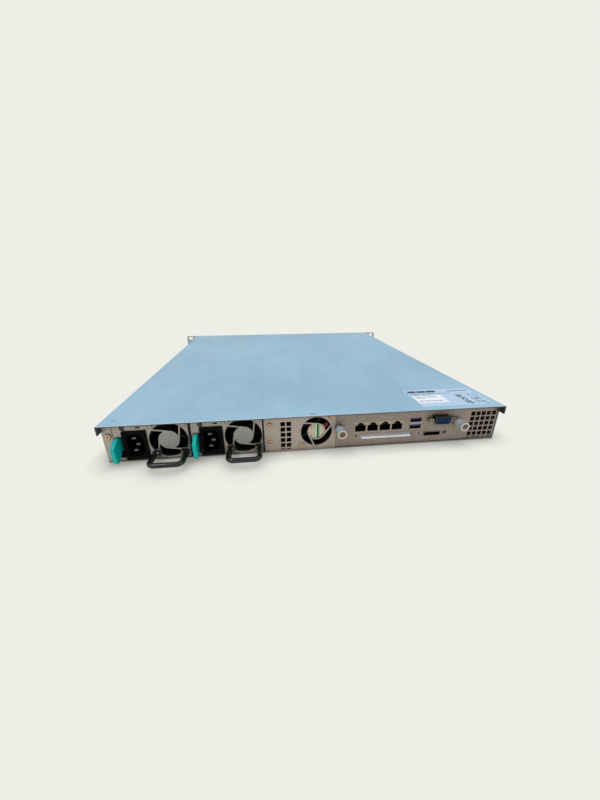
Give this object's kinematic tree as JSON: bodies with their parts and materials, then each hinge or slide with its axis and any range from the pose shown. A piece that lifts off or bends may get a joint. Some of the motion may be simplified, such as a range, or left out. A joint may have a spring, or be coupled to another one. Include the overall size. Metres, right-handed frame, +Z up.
{
  "type": "rackmount network appliance",
  "caption": "Flat rackmount network appliance with slotted rack ears, front drive trays, plug-in rear power modules with fold handles, guarded fans and a sliding port tray.",
  "frame": {"origin": "middle of the width, on the rack mounting plane (the back face of the ears), at the underside of the base", "axes": "+Z up; +Y from the front (drive trays, rack ears) to the rear (power modules, ports); +X to the right seen from the front"},
  "size_m": [0.4826, 0.5341, 0.0445],
  "materials": {
    "galvanised": "satin",
    "ear_paint": "satin",
    "zinc": "satin",
    "yellow_zinc": "satin",
    "nickel": "polished",
    "bezel": "matte",
    "lever": "matte",
    "black_plastic": "matte",
    "black_gloss": "satin",
    "teal": "satin",
    "handle": "matte",
    "port_shield": "satin",
    "port_blue": "satin",
    "board": "satin",
    "alloy": "satin",
    "label": "satin",
    "button": "satin",
    "wire": "satin"
  },
  "bodies": {
    "chassis": {"chassis_base": "galvanised", "rack_ear_left": "ear_paint", "rack_ear_right": "ear_paint", "ear_screws": "zinc", "rear_screws": "yellow_zinc", "control_pod": "bezel", "control_board": "board", "drive_cage": "galvanised", "drive_backplane": "board", "midplane_board": "board", "power_bay": "galvanised", "rear_fan_panel": "galvanised", "rear_fan_frame": "black_plastic", "mid_fan_frames": "black_plastic", "wiring": "wire"},
    "cover": {"top_cover": "galvanised", "cover_screws": "zinc", "rating_label": "label"},
    "board_tray": {"board_tray": "galvanised", "main_board": "board", "heat_sink": "alloy", "memory_modules": "board", "ethernet_ports": "port_shield", "usb_ports": "port_shield", "vga_port": "port_blue", "expansion_port": "port_shield", "slot_cover": "port_shield"},
    "thumbscrew_left": {"thumbscrew_left": "nickel"},
    "thumbscrew_right": {"thumbscrew_right": "nickel"},
    "rear_fan": {"rear_fan_rotor": "black_gloss"},
    "inner_fan_1": {"mid_fan_rotor_1": "black_gloss"},
    "inner_fan_2": {"mid_fan_rotor_2": "black_gloss"},
    "power_button": {"power_button": "button"},
    "mute_button": {"mute_button": "button"},
    "power_module_1": {"psu_1_case": "galvanised", "psu_1_inlet": "black_plastic", "psu_1_fan_frame": "black_plastic", "psu_1_board": "board"},
    "power_fan_1": {"psu_1_fan_rotor": "black_gloss"},
    "power_handle_1": {"psu_1_handle": "handle"},
    "power_latch_1": {"psu_1_latch": "teal"},
    "power_module_2": {"psu_2_case": "galvanised", "psu_2_inlet": "black_plastic", "psu_2_fan_frame": "black_plastic", "psu_2_board": "board"},
    "power_fan_2": {"psu_2_fan_rotor": "black_gloss"},
    "power_handle_2": {"psu_2_handle": "handle"},
    "power_latch_2": {"psu_2_latch": "teal"},
    "drive_tray_1": {"tray_1": "bezel", "drive_1": "alloy"},
    "tray_lever_1": {"tray_lever_1": "lever"},
    "drive_tray_2": {"tray_2": "bezel", "drive_2": "alloy"},
    "tray_lever_2": {"tray_lever_2": "lever"},
    "drive_tray_3": {"tray_3": "bezel", "drive_3": "alloy"},
    "tray_lever_3": {"tray_lever_3": "lever"},
    "drive_tray_4": {"tray_4": "bezel", "drive_4": "alloy"},
    "tray_lever_4": {"tray_lever_4": "lever"}
  },
  "joints": [
    {"name": "cover_lift", "type": "slide", "parent": "chassis", "child": "cover", "axis": [0, 0, 1], "range_m": [0, 0.06]},
    {"name": "power_module_1_slide", "type": "slide", "parent": "chassis", "child": "power_module_1", "axis": [0, 1, 0], "range_m": [0, 0.205]},
    {"name": "power_handle_1_fold", "type": "hinge", "parent": "power_module_1", "child": "power_handle_1", "pos_m": [0.15045, 0.4955, 0.0088], "axis": [1, 0, 0], "range_deg": [0, 88]},
    {"name": "power_latch_1_squeeze", "type": "hinge", "parent": "power_module_1", "child": "power_latch_1", "pos_m": [0.19895, 0.479, 0.016], "axis": [0, 0, 1], "range_deg": [0, 10]},
    {"name": "power_fan_1_spin", "type": "hinge", "parent": "power_module_1", "child": "power_fan_1", "pos_m": [0.1512, 0.475, 0.02205], "axis": [0, 1, 0], "continuous": true},
    {"name": "power_module_2_slide", "type": "slide", "parent": "chassis", "child": "power_module_2", "axis": [0, 1, 0], "range_m": [0, 0.205]},
    {"name": "power_handle_2_fold", "type": "hinge", "parent": "power_module_2", "child": "power_handle_2", "pos_m": [0.07505, 0.4955, 0.0088], "axis": [1, 0, 0], "range_deg": [0, 88]},
    {"name": "power_latch_2_squeeze", "type": "hinge", "parent": "power_module_2", "child": "power_latch_2", "pos_m": [0.12355, 0.479, 0.016], "axis": [0, 0, 1], "range_deg": [0, 6]},
    {"name": "power_fan_2_spin", "type": "hinge", "parent": "power_module_2", "child": "power_fan_2", "pos_m": [0.0758, 0.475, 0.02205], "axis": [0, 1, 0], "continuous": true},
    {"name": "rear_fan_spin", "type": "hinge", "parent": "chassis", "child": "rear_fan", "pos_m": [-0.00205, 0.48, 0.0226], "axis": [0, 1, 0], "continuous": true},
    {"name": "inner_fan_1_spin", "type": "hinge", "parent": "chassis", "child": "inner_fan_1", "pos_m": [-0.072, 0.186, 0.02015], "axis": [0, 1, 0], "continuous": true},
    {"name": "inner_fan_2_spin", "type": "hinge", "parent": "chassis", "child": "inner_fan_2", "pos_m": [-0.15, 0.186, 0.02015], "axis": [0, 1, 0], "continuous": true},
    {"name": "board_tray_slide", "type": "slide", "parent": "chassis", "child": "board_tray", "axis": [0, 1, 0], "range_m": [0, 0.205]},
    {"name": "thumbscrew_left_turn", "type": "hinge", "parent": "board_tray", "child": "thumbscrew_left", "pos_m": [-0.02705, 0.492, 0.0247], "axis": [0, 1, 0], "continuous": true},
    {"name": "thumbscrew_right_turn", "type": "hinge", "parent": "board_tray", "child": "thumbscrew_right", "pos_m": [-0.16415, 0.492, 0.0254], "axis": [0, 1, 0], "continuous": true},
    {"name": "drive_tray_1_slide", "type": "slide", "parent": "chassis", "child": "drive_tray_1", "axis": [0, -1, 0], "range_m": [0, 0.17]},
    {"name": "tray_lever_1_swing", "type": "hinge", "parent": "drive_tray_1", "child": "tray_lever_1", "pos_m": [-0.1144, -0.0062, 0.0214], "axis": [0, 0, 1], "range_deg": [0, 75]},
    {"name": "drive_tray_2_slide", "type": "slide", "parent": "chassis", "child": "drive_tray_2", "axis": [0, -1, 0], "range_m": [0, 0.17]},
    {"name": "tray_lever_2_swing", "type": "hinge", "parent": "drive_tray_2", "child": "tray_lever_2", "pos_m": [-0.00765, -0.0062, 0.0214], "axis": [0, 0, 1], "range_deg": [0, 75]},
    {"name": "drive_tray_3_slide", "type": "slide", "parent": "chassis", "child": "drive_tray_3", "axis": [0, -1, 0], "range_m": [0, 0.17]},
    {"name": "tray_lever_3_swing", "type": "hinge", "parent": "drive_tray_3", "child": "tray_lever_3", "pos_m": [0.09885, -0.0062, 0.0214], "axis": [0, 0, 1], "range_deg": [0, 75]},
    {"name": "drive_tray_4_slide", "type": "slide", "parent": "chassis", "child": "drive_tray_4", "axis": [0, -1, 0], "range_m": [0, 0.17]},
    {"name": "tray_lever_4_swing", "type": "hinge", "parent": "drive_tray_4", "child": "tray_lever_4", "pos_m": [0.2056, -0.0062, 0.0214], "axis": [0, 0, 1], "range_deg": [0, 75]},
    {"name": "power_button_press", "type": "slide", "parent": "chassis", "child": "power_button", "axis": [0, 1, 0], "range_m": [0, 0.0008]},
    {"name": "mute_button_press", "type": "slide", "parent": "chassis", "child": "mute_button", "axis": [0, 1, 0], "range_m": [0, 0.0008]}
  ]
}
